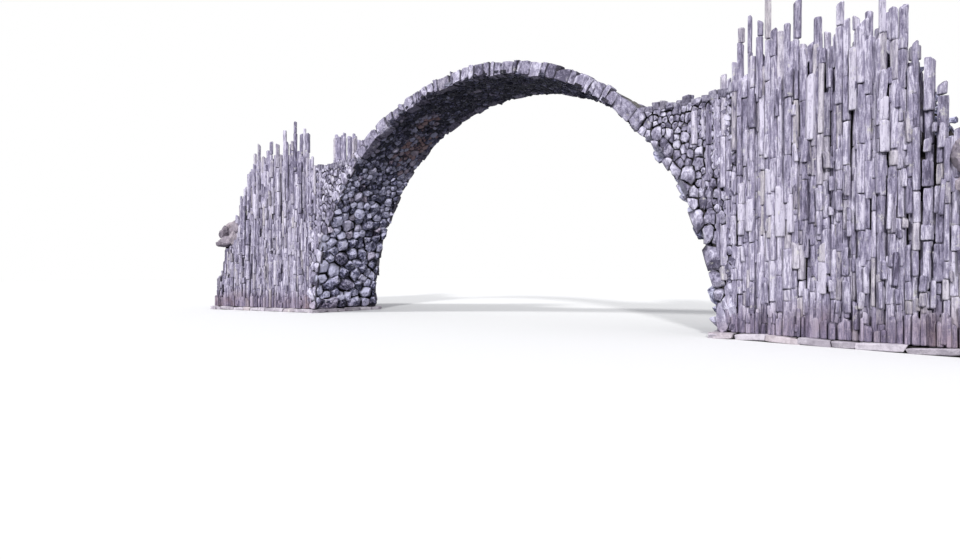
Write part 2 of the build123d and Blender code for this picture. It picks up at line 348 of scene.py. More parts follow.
acrossY, upZ = Vector((0, 1, 0)), Vector((0, 0, 1))


def turned(angle):        # level axes turned about the vertical
    c, s = math.cos(angle), math.sin(angle)
    return Vector((c, s, 0)), Vector((-s, c, 0)), upZ


# Shader nodes: settings by name, and inputs fed with a number, a colour or another node's output
def newFinish(name):
    finish = bpy.data.materials.new(name)
    finish.use_nodes = True
    tree = finish.node_tree
    return finish, tree, tree.nodes["Principled BSDF"], nodeOf(tree, "TexCoord")["Object"]


def feed(tree, socket, value):
    if isinstance(value, bpy.types.NodeSocket):
        tree.links.new(value, socket)
    else:
        socket.default_value = (*value, 1) if socket.type == "RGBA" else value


def nodeOf(tree, kind, settings={}, inputs={}):
    node = tree.nodes.new("ShaderNode" + kind)
    for label, value in settings.items():
        setattr(node, label, value)
    for label, value in inputs.items():
        feed(tree, node.inputs[label], value)
    return node.outputs


def noiseOf(tree, place, scale, detail=5.0, roughness=0.6, distortion=0.0):
    return nodeOf(tree, "TexNoise", {}, {"Vector": place, "Scale": scale, "Detail": detail,
                                         "Roughness": roughness, "Distortion": distortion})["Fac"]


def mathOf(tree, operation, a, b):
    return nodeOf(tree, "Math", {"operation": operation}, {0: a, 1: b})[0]


def rangeOf(tree, value, low, high, toLow=0.0, toHigh=1.0):
    return nodeOf(tree, "MapRange", {"interpolation_type": "SMOOTHSTEP"}, {
        "Value": value, "From Min": low, "From Max": high, "To Min": toLow, "To Max": toHigh})["Result"]


def mixOf(tree, amount, a, b, blend="MIX"):     # inputs 6 and 7 and output 2 are the colours
    return nodeOf(tree, "Mix", {"data_type": "RGBA", "blend_type": blend}, {0: amount, 6: a, 7: b})[2]


def attributeOf(tree, label):
    return nodeOf(tree, "Attribute", {"attribute_name": label})["Fac"]


def heightOf(tree, place):
    return nodeOf(tree, "SeparateXYZ", {}, {0: place})["Z"]


def bumpOf(tree, height, distance):
    return nodeOf(tree, "Bump", {}, {"Distance": distance, "Height": height})["Normal"]


# Stone colours: dark, middle and light of the stone, a warm hue that some stones lean to, lichen, a
# painted highlight where it faces up and painted shade where it faces down (crest), how damp and stain
# colour its foot, and how much of its colour stays in the painted shade of its joints (joint)
plainStone = {"grain": (1.4, 1.4, 1.4), "joint": 0.15, "bump": 0.05, "crest": (0.0, 0.0), "mottle": 0.5}
stoneColours = {
    "column basalt": {
        "dark": (0.090, 0.078, 0.130), "middle": (0.312, 0.284, 0.402), "light": (0.71, 0.67, 0.80),
        "warm": (0.54, 0.50, 0.455), "warmFrom": 0.74, "lichen": (0.70, 0.68, 0.64), "lichenFrom": 0.58,
        "grain": (7.0, 7.0, 1.0), "joint": 0.10, "mottle": 0.85,
        "foot": (0.43, 0.34, 0.40), "footHeight": 1.4, "stain": (0.24, 0.14, 0.115), "stained": 0.8,
    },
    "field stone": {
        "dark": (0.014, 0.015, 0.032), "middle": (0.19, 0.187, 0.315), "light": (0.74, 0.73, 0.96),
        "warm": (0.58, 0.325, 0.255), "warmFrom": 0.84, "lichen": (0.62, 0.61, 0.70), "lichenFrom": 0.555,
        "grain": (3.2, 3.2, 3.2), "joint": 0.22, "bump": 0.10, "crest": (-0.10, 0.45), "mottle": 1.0,
        "foot": (0.55, 0.50, 0.52), "footHeight": 0.7, "stain": (0.10, 0.09, 0.07), "stained": 0.4,
    },
    "edge stone": {
        "dark": (0.095, 0.085, 0.135), "middle": (0.32, 0.295, 0.41), "light": (0.70, 0.67, 0.82),
        "warm": (0.42, 0.385, 0.345), "warmFrom": 0.84, "lichen": (0.66, 0.64, 0.58), "lichenFrom": 0.59,
        "grain": (3.4, 3.4, 2.0), "bump": 0.07, "mottle": 0.8,
        "foot": (0.6, 0.52, 0.55), "footHeight": 0.8, "stain": (0.20, 0.14, 0.11), "stained": 0.5,
    },
    "paving stone": {
        "dark": (0.09, 0.085, 0.08), "middle": (0.24, 0.23, 0.23), "light": (0.45, 0.44, 0.44),
        "warm": (0.30, 0.26, 0.20), "warmFrom": 0.5, "lichen": (0.22, 0.25, 0.12), "lichenFrom": 0.60,
        "grain": (2.2, 2.2, 2.2), "joint": 0.25, "bump": 0.02,
        "foot": (0.6, 0.55, 0.55), "footHeight": 0.5, "stain": (0.10, 0.09, 0.07), "stained": 0.3,
    },
    "ledge stone": {
        "dark": (0.16, 0.135, 0.17), "middle": (0.36, 0.325, 0.38), "light": (0.62, 0.57, 0.64),
        "warm": (0.42, 0.33, 0.31), "warmFrom": 0.7, "lichen": (0.7, 0.68, 0.64), "lichenFrom": 0.58,
        "bump": 0.03,
        "foot": (1.0, 0.95, 0.95), "footHeight": 0.3, "stain": (0.3, 0.24, 0.2), "stained": 0.2,
    },
    "boulder": {
        "dark": (0.09, 0.078, 0.105), "middle": (0.28, 0.25, 0.30), "light": (0.60, 0.56, 0.62),
        "warm": (0.34, 0.28, 0.27), "warmFrom": 0.70, "lichen": (0.56, 0.54, 0.50), "lichenFrom": 0.58,
        "joint": 0.2,
        "foot": (0.95, 0.9, 0.9), "footHeight": 0.3, "stain": (0.16, 0.13, 0.10), "stained": 0.2,
    },
}
lightShares = {"tone": 0.52, "mottle": 0.36, "speckle": 0.2, "patches": 0.12}    # in how light a spot is
# Near-black joint colours: the first is painted shade deep in the joints of stones, the others are joint
# earth and backing, kept as dark as shade
jointColours = {"jointShade": (0.014, 0.012, 0.018), "earthAndShade": (0.012, 0.011, 0.013), "crumbs": (0.045, 0.04, 0.038)}


# Weathered stone: each stone has its own tone and hue, then mottling, lichen, a damp foot, and dark joints
# and recesses of painted shade
def stoneFinish(label):
    look = {**plainStone, **stoneColours[label]}
    finish, tree, shader, place = newFinish(label.replace(" ", "_"))
    grain = nodeOf(tree, "Mapping", {}, {"Scale": look["grain"], "Vector": place})["Vector"]
    mottle = noiseOf(tree, grain, 2.4, 7.0, 0.68, 0.4)
    patches = noiseOf(tree, place, 0.55, 3.0, 0.5)
    speckle = noiseOf(tree, place, 22.0, 5.0, 0.75)
    light = mathOf(tree, "MULTIPLY", attributeOf(tree, "tone"), lightShares["tone"])
    mottled = rangeOf(tree, mottle, 0.36, 0.64, 0.5 - look["mottle"], 0.5 + look["mottle"])
    for amount, share in ((mottled, "mottle"), (rangeOf(tree, speckle, 0.3, 0.7), "speckle"),
                          (rangeOf(tree, patches, 0.3, 0.7), "patches")):
        light = mathOf(tree, "ADD", light, mathOf(tree, "MULTIPLY", amount, lightShares[share]))
    # paler where it faces up, a little darker where it faces down: painted highlight and painted shade
    rise = heightOf(tree, nodeOf(tree, "NewGeometry")["Normal"])
    light = mathOf(tree, "ADD", light, rangeOf(tree, rise, 0.0, 0.75, *look["crest"]))
    colour = mixOf(tree, rangeOf(tree, light, 0.1, 0.58), look["dark"], look["middle"])
    colour = mixOf(tree, rangeOf(tree, light, 0.55, 1.05), colour, look["light"])
    warm = rangeOf(tree, attributeOf(tree, "hue"), look["warmFrom"], look["warmFrom"] + 0.4, 0.0, 0.7)
    warm = mathOf(tree, "MULTIPLY", warm, rangeOf(tree, light, 0.2, 0.7))
    colour = mixOf(tree, warm, colour, look["warm"])
    growth = noiseOf(tree, place, 3.4, 9.0, 0.78)
    spots = rangeOf(tree, growth, look["lichenFrom"], look["lichenFrom"] + 0.07, 0.0, 0.7)
    colour = mixOf(tree, spots, colour, look["lichen"])
    foot = rangeOf(tree, heightOf(tree, place), look["footHeight"], plinthTop + 0.2, 0.0, 0.75)
    foot = mathOf(tree, "MULTIPLY", foot, rangeOf(tree, mottle, 0.3, 0.62, 0.5, 1.0))
    colour = mixOf(tree, foot, colour, mixOf(tree, 1.0, colour, look["foot"], "MULTIPLY"))
    stain = mathOf(tree, "MULTIPLY", foot, rangeOf(tree, patches, 0.5, 0.7, 0.0, look["stained"]))
    colour = mixOf(tree, stain, colour, look["stain"])
    # points deep in joints and recesses turn to the near-black joint colour: painted shade
    unshaded = rangeOf(tree, attributeOf(tree, "wear"), 0.0, 1.0, look["joint"], 1.0)
    feed(tree, shader.inputs["Base Color"], mixOf(tree, unshaded, jointColours["jointShade"], colour))
    feed(tree, shader.inputs["Roughness"], rangeOf(tree, mottle, 0.3, 0.8, 0.75, 0.95))
    feed(tree, shader.inputs["Specular IOR Level"], 0.3)
    relief = mathOf(tree, "ADD", mottle, mathOf(tree, "MULTIPLY", speckle, 0.35))
    feed(tree, shader.inputs["Normal"], bumpOf(tree, relief, look["bump"]))
    return finish


columnFinish = stoneFinish("column basalt")
edgeFinish = stoneFinish("edge stone")
pavingFinish = stoneFinish("paving stone")
boulderFinish = stoneFinish("boulder")
ledgeFinish = stoneFinish("ledge stone")
rubbleFinish = stoneFinish("field stone")


# Earth and old mortar deep in the joints and behind the stones, kept near black as painted shade
def jointFinish():
    finish, tree, shader, place = newFinish("joint_earth_and_shade")
    crumbs = noiseOf(tree, place, 9.0, 6.0, 0.7)
    colour = mixOf(tree, rangeOf(tree, crumbs, 0.3, 0.7), jointColours["earthAndShade"], jointColours["crumbs"])
    feed(tree, shader.inputs["Base Color"], colour)
    feed(tree, shader.inputs["Roughness"], 1.0)
    feed(tree, shader.inputs["Specular IOR Level"], 0.1)
    feed(tree, shader.inputs["Normal"], bumpOf(tree, crumbs, 0.03))
    return finish


mortarAndShadeFinish = jointFinish()
print("stone finishes are ready")

# Underside of the arch: boulders at the springing, small stones over the crown. Lines run by height
underside = {
    "spacing": ((0, 0.60), (3.0, 0.54), (5.0, 0.42), (6.8, 0.29), (8.2, 0.24), (10, 0.23)),
    # stones darken toward the crown: partly soot-dark damp stone, partly painted shade under the arch
    "tone": ((0, 0.75), (3.0, 0.9), (5.0, 0.95), (6.2, 0.8), (7.2, 0.5), (8.2, 0), (10, -0.5)),
    "toneSpread": 0.95, "paleTone": (1.3, 2.2),
    "paleShare": ((0, 0.1), (4.0, 0.2), (6.2, 0.3), (7.5, 0.25), (8.8, 0.12), (9.3, 0.02), (10, 0.02)),
    "ragged": ((0, 0.16), (8.0, 0.14), (9.5, 0.08), (10, 0.07)),
    "relief": ((0, 0.72), (7.0, 0.66), (9.0, 0.42), (10, 0.36)), "reliefSpread": (0.3, 1.2),
    "joint": 0.036, "lean": 0.95, "depth": 0.1, "setBack": 0.05, "bed": 0.26, "tries": 90000, "seed": 11,
    "flatHalf": 1.85,
    "overlap": 0.08,      # how far its bed reaches in under the edge stones, so no light comes through
    "rusty": ((125.0, 1.0, 1.8), (114.5, 0.0, 0.9)),      # patches: degrees along the arch, across, size
    "rustHue": 0.9, "rustTone": (0, 3.6),
}


def buildUnderside(part):
    rng = random.Random(part["seed"])
    length = math.pi * archRadius
    foot = archRadius * math.asin(plinthTop / archRadius)

    def levelAt(s):
        return archRadius * math.sin(s / archRadius)

    def place(s, t, w):
        radius, angle = archRadius + part["setBack"] - w, s / archRadius
        x = radius * math.cos(angle)
        return (x, t / part["flatHalf"] * halfWidthAt(x), max(radius * math.sin(angle), plinthTop - 0.02))

    def limitsAt(s, t):
        ragged = part["flatHalf"] + rng.uniform(-1, 0.4) * between(part["ragged"], levelAt(s))
        return ((0, 1, ragged), (0, -1, ragged), (-1, 0, -foot), (1, 0, length - foot))

    sites = scatterSites((foot, -part["flatHalf"]), (length - foot, part["flatHalf"]),
                         lambda s, t: between(part["spacing"], levelAt(s)), lambda s, t: True, rng,
                         part["tries"])
    heaps = archHeaps()
    for (s, t, reach), cell in stoneCells(sites, limitsAt):
        # tone by height darkens toward the crown: partly soot-dark stone, partly painted shade
        tone = between(part["tone"], levelAt(s)) + rng.uniform(-1, 1) * part["toneSpread"]
        if rng.random() < between(part["paleShare"], levelAt(s)):
            tone = rng.uniform(*part["paleTone"])
        height = between(part["relief"], levelAt(s)) * reach * rng.uniform(*part["reliefSpread"])
        hue = rng.random()
        for along, across, size in part["rusty"]:
            near = max(0, 1 - math.hypot(s - archRadius * math.radians(along), t - across) / size)
            hue, tone = hue + part["rustHue"] * near, tone + rng.uniform(*part["rustTone"]) * near
        addStone(heaps[archPartAt(math.degrees(s / archRadius))], cell, place, rng, part["joint"] * reach,
                 height, part["depth"], tone, hue, part["lean"])
    inset = edgeWidth - part["overlap"]
    for where, (start, stop) in archSpans(math.degrees(foot / archRadius)).items():
        addArchBand(heaps[where], archRadius + part["bed"], extrados, start, stop, (-1, inset), (1, inset))
        nodes = ("crown_barrel",) if where == "crown" else (f"{where}_springer", f"{where}_haunch")
        makePiece(f"{where}_underside", heaps[where], (rubbleFinish, mortarAndShadeFinish), "rubble", *nodes)


buildUnderside(underside)

# Upright slabs along both edges of the arch, above the spandrels
edgeRing = {
    "from": 45.5, "thin": 0.18, "thick": 0.90, "gap": 0.014, "top": (0.46, 0.56), "bottom": (-0.04, 0.06),
    "front": (-0.05, 0.03), "back": (-0.02, 0.06), "tilt": 0.06, "tone": (-0.35, 0.85), "rounding": 0.14,
    # sides: how dark the slab ends that face their neighbours are, painted shade
    "rough": 0.045, "sides": 0.25, "splits": 3,
    "bedFoot": 1.8, "bedTop": 0.36, "bedFront": 0.09, "bedBack": 0.47, "seed": 23,
}


def buildEdges(part):
    for face, side in faces:
        rng = random.Random(part["seed"] + side)
        heaps = archHeaps()
        angle = math.radians(part["from"])
        while angle < math.radians(180 - part["from"]):
            width = part["thin"] + (part["thick"] - part["thin"]) * rng.random() ** 2
            middle = angle + width / 2 / edgeRadius
            angle += (width + part["gap"]) / edgeRadius
            top, bottom = (archRadius + rng.uniform(*part[label]) for label in ("top", "bottom"))
            radial = Vector((math.cos(middle), 0, math.sin(middle)))
            along = Vector((-radial.z, 0, radial.x))
            centre = radial * (top + bottom) / 2
            outer = halfWidthAt(centre.x) + rng.uniform(*part["front"])
            inner = halfWidthAt(centre.x) - edgeWidth + rng.uniform(*part["back"])
            centre.y = side * (outer + inner) / 2
            tilt = rng.uniform(-part["tilt"], part["tilt"])
            axes = ((along + radial * tilt).normalized(), acrossY, (radial - along * tilt).normalized())
            half = (width / 2, (outer - inner) / 2, (top - bottom) / 2)
            addBlock(heaps[archPartAt(math.degrees(middle))], centre, axes, half, rng,
                     rng.uniform(*part["tone"]), rng.random(), part["rounding"], part["rough"], fineBlock,
                     part["sides"], hidden=1, splits=part["splits"])
        for where, (start, stop) in archSpans(part["bedFoot"]).items():
            addArchBand(heaps[where], archRadius + underside["bed"], archRadius + part["bedTop"], start, stop,
                        (side, part["bedFront"]), (side, part["bedBack"]))
            makePiece(f"{where}_{face}_edge_stones", heaps[where], (edgeFinish, mortarAndShadeFinish), "edge_stone",
                      f"{where}_{face}_edge")


buildEdges(edgeRing)
print("arch is dressed")

# Columns on the wings. Crests and spires are (distance from the middle, height), pale columns and
# hollows (distance, from height, to height), rows (depth, share cut short, share of missing pieces)
columnWall = {
    "near": {
        "crest": ((10.5, 8.0), (11.3, 8.4), (12.3, 8.35), (14.2, 8.25), (14.55, 8.05), (14.9, 7.7),
                  (15.3, 6.7), (15.65, 5.5), (15.95, 4.5), (16.3, 3.6), (16.7, 2.7), (17.2, 1.9),
                  (17.4, 1.4)),
        "free": 7.6, "backed": (14.0, 7.0),
        "spires": ((10.66, 9.30), (10.9, 9.58), (11.23, 9.36), (11.49, 9.97), (11.62, 9.0), (11.8, 8.85),
                   (12.02, 9.03), (12.16, 9.62), (12.73, 8.97), (13.28, 9.16), (13.46, 8.7), (13.8, 8.4),
                   (14.21, 9.12), (14.46, 8.6)),
        "pale": ((11.55, 2.98, 5.0), (11.8, 3.0, 4.5), (12.1, 3.1, 4.95), (10.7, 3.1, 4.7),
                 (10.95, 3.2, 4.95), (13.6, 6.2, 7.9), (12.6, 5.6, 7.4), (11.3, 5.4, 7.2), (14.3, 5.0, 6.4),
                 (12.9, 1.4, 2.8)),
        "hollows": ((13.2, 2.9, 3.6), (12.0, 3.0, 3.4), (12.35, 1.5, 2.3), (10.8, 4.95, 5.2)),
        "rows": ((0.10, 0.35, 0.05), (0.25, 0.15, 0.0)), "thin": 0.10, "thick": 0.25,
        "uneven": (-0.35, 0.12), "broken": 110, "corner": 15.9,
    },
    "far": {
        "crest": ((10.5, 9.45), (11.05, 9.7), (12.0, 10.1), (13.0, 10.5), (14.45, 10.6), (14.5, 8.6),
                  (15.4, 6.6), (16.3, 5.4), (17.4, 4.4)),
        "free": 7.4, "backed": (14.0, 8.2), "spires": (), "pale": (), "hollows": (),
        "rows": ((0.14, 0.0, 0.0),), "thin": 0.18, "thick": 0.30,
        "uneven": (-0.3, 0.13), "broken": 60, "corner": 99,
    },
    "shortest": ((0, 0.25), (3.5, 0.3), (5.5, 0.5), (7.5, 1.1)),       # length of a piece, by height
    "longest": ((0, 1.3), (3.5, 1.4), (5.5, 2.1), (7.5, 3.0)),
    "inset": 0.13, "foot": ((-0.4, 0.3), (0.4, 0.95)), "tone": (-0.15, 1.3), "paleTone": 1.25, "seed": 51,
    "cornerTop": ((16.2, 3.75), (16.9, 3.6), (17.3, 2.6)), "cornerStep": 0.17, "innerTone": (-0.5, 0.5),
    "backing": 0.26, "backSlope": ((15.4, 4.9), (16.1, 3.4)), "backEnd": (0.4, 1.2), "backStart": 7.6,
    "sides": (5, 5, 6, 6, 7), "reach": (0.85, 1.13), "scale": (0.8, 1.08), "topSlope": (0.1, 0.9),
    "ringEvery": 0.42, "footWidth": (0.09, 0.21),
}


# One column of stacked pieces, rising at a place on a wall that faces outward. Below the free height its
# side toward the wall and the ends of each piece are darkened as painted shade; above it, it stands clear
# of the wall. Hollows leave pieces out
def addColumn(heap, x, y, bottom, top, radius, rng, outward, free=99.0, hollows=(), missing=0.0, finish=0,
              tone=None, lean=0.012):
    sides = rng.choice(columnWall["sides"])
    turn = rng.uniform(0, math.tau)
    corners = [(turn + math.tau * i / sides + rng.uniform(-0.15, 0.15),
                radius * rng.uniform(*columnWall["reach"])) for i in range(sides)]
    leanX, leanY = rng.uniform(-lean, lean), rng.uniform(-lean, lean)
    own = rng.uniform(*columnWall["tone"]) if tone is None else tone
    z = bottom
    while z < top - 0.02:
        length = rng.uniform(between(columnWall["shortest"], z), between(columnWall["longest"], z))
        if top - z - length < 0.3:
            length = top - z
        last = z + length >= top - 0.02
        first, z = z, z + length
        middle = first + length / 2
        if not last and (rng.random() < missing or any(low < middle < high for low, high in hollows)):
            continue
        step = rng.uniform(-0.05, 0.03)
        dx, dy = (rng.uniform(-0.02, 0.02) + across * step for across in outward)
        scale, twist = rng.uniform(*columnWall["scale"]), rng.uniform(-0.15, 0.15)
        slope = rng.uniform(*columnWall["topSlope"]) if last else 0.25
        slopeTo = rng.uniform(0, math.tau if last else 6)
        cuts = int(length / columnWall["ringEvery"])
        levels = [(first, 0.9, 0.5), (first + 0.03, 1.0, 0.9)]      # height, width and how far out of shade each ring is
        levels += [(first + length * i / (cuts + 1), rng.uniform(0.94, 1.06), 1.0)
                   for i in range(1, cuts + 1)]
        levels += [(z - 0.035, 1.0, 1.0), (z, 0.8 if last else 0.88, 0.9)]
        points, wear = [], []
        for k, (level, spread, unshaded) in enumerate(levels):
            for angle, reach in corners:
                r = reach * scale * spread * rng.uniform(0.955, 1.045)
                sink = slope * r * (1 + math.cos(angle - slopeTo)) if k > len(levels) - 3 else 0.0
                h = level - bottom
                ox, oy = r * math.cos(angle + twist), r * math.sin(angle + twist)
                points.append((x + dx + leanX * h + ox, y + dy + leanY * h + oy,
                               max(level - sink, first + 0.03 * k)))
                # side toward the wall darker below the free height: painted shade
                out = (ox * outward[0] + oy * outward[1]) / radius if level < free else 1.0
                wear.append(min(1.0, max(0.0, 0.62 + 0.5 * out)) * (unshaded if level < free else 1.0))
        own = own * 0.5 + rng.uniform(*columnWall["tone"]) * 0.5 if tone is None else tone
        addRings(heap, sides, points, own, rng.random(), finish, wear)


def buildColumns(part):
    for end, e, face, side in walls:
        rng = random.Random(part["seed"] + 3 * e + side)
        look, heap, outward = part[face], newHeap(), (0, side)

        def raiseColumn(d, depth, top, radius, bottom=plinthTop, **others):
            addColumn(heap, e * d, faceY(d, side, depth), bottom, top, radius, rng, outward, **others)

        for row, (depth, short, missing) in enumerate(look["rows"]):
            d, clump, inset = wingStart + 0.03, 0, 0.0
            while d < wingEnd - 0.12:
                if clump == 0:      # neighbours stand back from the face together
                    clump, inset = rng.randint(1, 5), rng.uniform(0, part["inset"]) * (row == 0)
                clump -= 1
                width = look["thin"] + (look["thick"] - look["thin"]) * rng.random() ** 1.5
                middle = d + width / 2
                crest = between(look["crest"], middle)
                top = crest + rng.uniform(*look["uneven"])
                if rng.random() < short:
                    top -= rng.uniform(0.1, 0.22 * crest)
                hollows = [(low, high) for at, low, high in look["hollows"] if abs(at - middle) < 0.16]
                raiseColumn(middle, depth + inset - rng.uniform(-0.02, 0.04), max(top, 1.0), width * 0.54,
                            free=look["free"], hollows=hollows if row == 0 else (), missing=missing)
                d += width * 0.99
        for d, top in look["spires"]:
            raiseColumn(d, 0.16, top, rng.uniform(0.09, 0.125), free=look["free"], lean=0.006)
        for d, low, high in look["pale"]:
            raiseColumn(d, 0.085, high, rng.uniform(0.1, 0.13), low, tone=part["paleTone"])
        for _ in range(look["broken"]):       # broken lengths lodged on the face
            d = wingStart + 0.1 + (wingEnd - wingStart - 0.25) * rng.random() ** 0.8
            length, radius = rng.uniform(0.15, 0.9), rng.uniform(0.05, 0.1)
            low = rng.uniform(plinthTop, max(plinthTop, between(look["crest"], d) - length - 0.6))
            raiseColumn(d, radius - rng.uniform(-0.01, 0.05), low + length, radius, low, lean=0.08)
        d = look["corner"]          # inner columns where those in front of the corner are broken off
        while d < wingEnd - 0.3:
            raiseColumn(d, rng.uniform(0.3, 0.36), between(part["cornerTop"], d) - rng.uniform(0, 0.4), 0.11,
                        tone=rng.uniform(*part["innerTone"]))
            d += part["cornerStep"]
        d = wingStart - 0.02        # a tier of thin short columns along the foot
        while d < wingEnd - 0.1:
            width = rng.uniform(*part["footWidth"])
            rise = between(part["foot"], noise.noise(Vector((d * 1.1, side, e))) + rng.uniform(-0.2, 0.2))
            y = side * (halfWidthAt(d) - 0.05 + rng.uniform(-0.03, 0.05))
            addColumn(heap, e * (d + width / 2), y, plinthTop, plinthTop + rise, width * 0.52, rng, outward)
            d += width * 1.02
        endAt, endTop = wingEnd - part["backEnd"][0], part["backEnd"][1]
        outline = [(wingStart, plinthTop), (wingStart, part["backStart"]), look["backed"], *part["backSlope"],
                   (endAt, endTop), (endAt, plinthTop)]
        addBacking(heap, [(e * d, z) for d, z in outline], side, part["backing"], columnRow)
        makePiece(f"{end}_{face}_column_row", heap, (columnFinish, mortarAndShadeFinish), "basalt",
                  f"{end}_{face}_columns")


buildColumns(columnWall)
print("columns are standing")


# A wall of field stones: scattered sites, their cells, and a stone on each
def layStones(heap, low, high, spacingAt, inside, limitsAt, place, rng, tries, joint, heightAt, depth, tone,
              lean=0.45):
    for (_, _, reach), cell in stoneCells(scatterSites(low, high, spacingAt, inside, rng, tries), limitsAt):
        height = heightAt(reach)
        addStone(heap, cell, place, rng, joint, height, depth, rng.uniform(*tone), rng.random(), lean)


# Rubble faces between the arch and the wings, with a few columns merging into them
spandrelFace = {
    "ringSpacing": 0.34, "spacing": 0.18, "stretch": 1.35, "joint": 0.01, "relief": 0.5, "deepest": 0.14,
    "recess": 0.07, "bed": 0.13, "bedTo": 44, "lean": 0.9, "depth": 0.1, "tone": (-0.2, 1.0), "ragged": 0.16,
    "top": ((7.29, 7.42), (9.4, 7.38), (10.05, 7.42), (10.6, 7.6)), "tries": 12000, "seed": 37,
    "columns": ((10.48, 8.3), (10.34, 7.9), (10.2, 8.05), (10.06, 7.3), (9.92, 7.5), (9.75, 7.15),
                (9.55, 7.25), (9.3, 7.1)),
    "columnRadius": (0.07, 0.11), "columnDepth": 0.07, "columnFree": 7.3,
    "innerFrom": 6.5, "innerTo": 7.36, "innerSpacing": 0.26, "innerRelief": 0.07, "innerTries": 1500,
    "courses": ((0.13, 0.0), (0.37, -0.05)),     # top course: depth in the wall, lift
    "courseWidth": (0.16, 0.34), "courseHeight": (0.14, 0.34), "courseTone": (0.2, 1.0), "backUnder": 0.05,
}


def buildSpandrels(part):
    for end, e, face, side in walls:
        rng = random.Random(part["seed"] + 2 * e + side)
        heap = newHeap()
        stretch = part["stretch"]       # stones are laid out squat, then drawn taller
        bed = archRadius + 0.2

        def inside(s, t):
            d, z = abs(s), t * stretch
            return (math.hypot(s, z) > archRadius + 0.05 and plinthTop < z < between(part["top"], d)
                    and d > part["top"][0][0])

        def spacingAt(s, t):
            z = t * stretch
            nearArch = math.hypot(s, z) < archRadius + 0.5
            return part["ringSpacing"] * (1.15 - 0.05 * z) if nearArch else part["spacing"]

        def limitsAt(s, t):
            z = t * stretch
            r = math.hypot(s, z)
            ragged = rng.uniform(-0.3, 1.0) * part["ragged"]
            return ((-s / r, -z * stretch / r, -archRadius + ragged), (e, 0, wingStart),
                    (0, -1, -plinthTop / stretch), (0, 1, (between(part["top"], abs(s)) + 0.06) / stretch))

        low, high = sorted((e * part["top"][0][0], e * wingStart))
        layStones(heap, (low, plinthTop / stretch), (high, 8.3 / stretch), spacingAt, inside, limitsAt,
                  lambda s, t, w: (s, faceY(s, side, part["recess"] - w), t * stretch), rng,
                  part["tries"], part["joint"],
                  lambda reach: min(part["deepest"], part["relief"] * reach * rng.uniform(0.6, 1.1)),
                  part["depth"], part["tone"], part["lean"])
        for d, top in part["columns"]:      # fewer pieces stay farther from the wing
            bottom = math.sqrt(max((archRadius + 0.35) ** 2 - d * d, plinthTop ** 2))
            addColumn(heap, e * d, faceY(d, side, part["columnDepth"]), bottom, top,
                      rng.uniform(*part["columnRadius"]), rng, (0, side), part["columnFree"],
                      missing=0.15 + 0.5 * (10.5 - d), finish=2, lean=0.006)

        # Inner face, beside the landing and the highest steps
        layStones(heap, (low, part["innerFrom"]), (high, 7.6), lambda s, t: part["innerSpacing"],
                  lambda s, t: t < 7.38 and math.hypot(s, t) > bed,
                  lambda s, t: ((e, 0, wingStart), (0, 1, part["innerTo"]),
                                (-s / math.hypot(s, t), -t / math.hypot(s, t), -bed)),
                  lambda s, t, w: (s, faceY(s, side, edgeWidth - 0.03 + w), t), rng,
                  part["innerTries"], part["joint"], lambda reach: part["innerRelief"], 0.06, (0, 1))

        # Uneven top course, two blocks deep over the thickness of the wall
        d = part["top"][0][0] + 0.1
        while d < wingStart:
            width = rng.uniform(*part["courseWidth"])
            for depth, lift in part["courses"]:
                height = rng.uniform(*part["courseHeight"])
                centre = (e * (d + width / 2), faceY(d, side, depth),
                          between(part["top"], d) + height / 2 + lift - 0.12)
                addBlock(heap, centre, turned(rng.uniform(-0.3, 0.3)), (width / 2, 0.13, height / 2), rng,
                         rng.uniform(*part["courseTone"]), rng.random(), 0.4, 0.05)
            d += width + 0.015

        # Solid wall behind the stones
        start, stop = math.asin(plinthTop / edgeRadius), math.radians(part["bedTo"])
        outline = [(edgeRadius * math.cos(a), edgeRadius * math.sin(a))
                   for a in (start + (stop - start) * i / 10 for i in range(11))]
        outline += [(min(d, wingStart), h - part["backUnder"]) for d, h in part["top"]]
        outline.append((wingStart, plinthTop))
        addBacking(heap, [(e * x, z) for x, z in outline], side, part["bed"], edgeWidth)
        makePiece(f"{end}_{face}_spandrel_rubble", heap, (edgeFinish, mortarAndShadeFinish, columnFinish), "rubble",
                  f"{end}_{face}_spandrel")


buildSpandrels(spandrelFace)
print("spandrels are dressed")

# Columns across the outer ends, in two rows
endWall = {
    "thin": 0.15, "thick": 0.27, "pathTop": 4.22, "nearTops": ((1.5, 3.65), (2.3, 3.6), (3.4, 1.7)),
    "innerTops": ((1.5, 3.75), (2.9, 3.6), (3.3, 2.6)), "innerInset": (0.38, 0.44),
    "farTop": 4.6, "farUneven": (-0.6, 0.3), "nearUneven": (0, 0.3), "insets": (0.13, 0.27), "backed": 3.4,
    "seed": 71,
}


